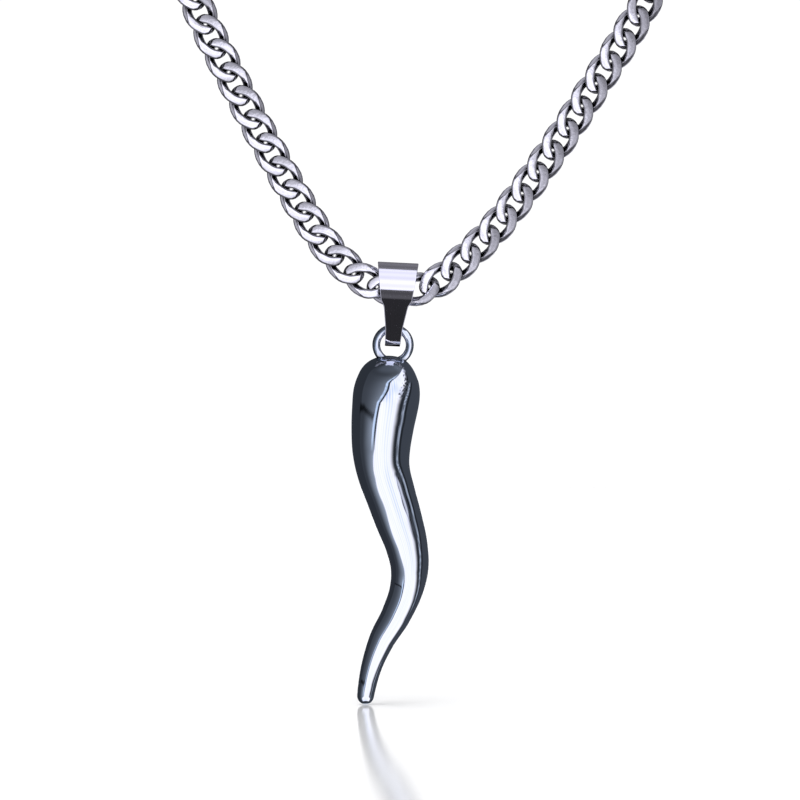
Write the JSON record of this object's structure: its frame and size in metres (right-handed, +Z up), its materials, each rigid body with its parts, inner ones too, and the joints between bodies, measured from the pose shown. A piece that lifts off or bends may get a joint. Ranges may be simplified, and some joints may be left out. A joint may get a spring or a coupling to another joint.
{
  "type": "horn pendant necklace",
  "caption": "Polished S-curved horn pendant with a ring, hanging from a tapered strip bail on a flat curb-link chain with a plain clasp",
  "frame": {"origin": "the middle of the chain's inner face at the nape of the neck, where the necklace hangs", "axes": "+Z up, -Y to the front, where the pendant hangs, +X to the right as the front is looked at"},
  "size_m": [0.118, 0.1219, 0.1713],
  "materials": {
    "horn": "mirror-polished steel, slightly blue",
    "bail": "finely brushed steel strip",
    "chain": "bright polished steel, flat ground links"
  },
  "bodies": {
    "chain": {"chain_left": "chain", "chain_right": "chain", "clasp": "chain"},
    "bail": {"bail": "bail"},
    "horn": {"horn": "horn"}
  },
  "joints": [
    {"name": "bail_swing", "type": "hinge", "parent": "chain", "child": "bail", "pos_m": [-0.004, -0.115, -0.112], "axis": [0.9988, 0, -0.0488], "range_deg": [-90, 90]},
    {"name": "horn_swing", "type": "hinge", "parent": "bail", "child": "horn", "pos_m": [-0.00451, -0.115, -0.11706], "axis": [1, 0, 0], "range_deg": [-90, 90]}
  ]
}
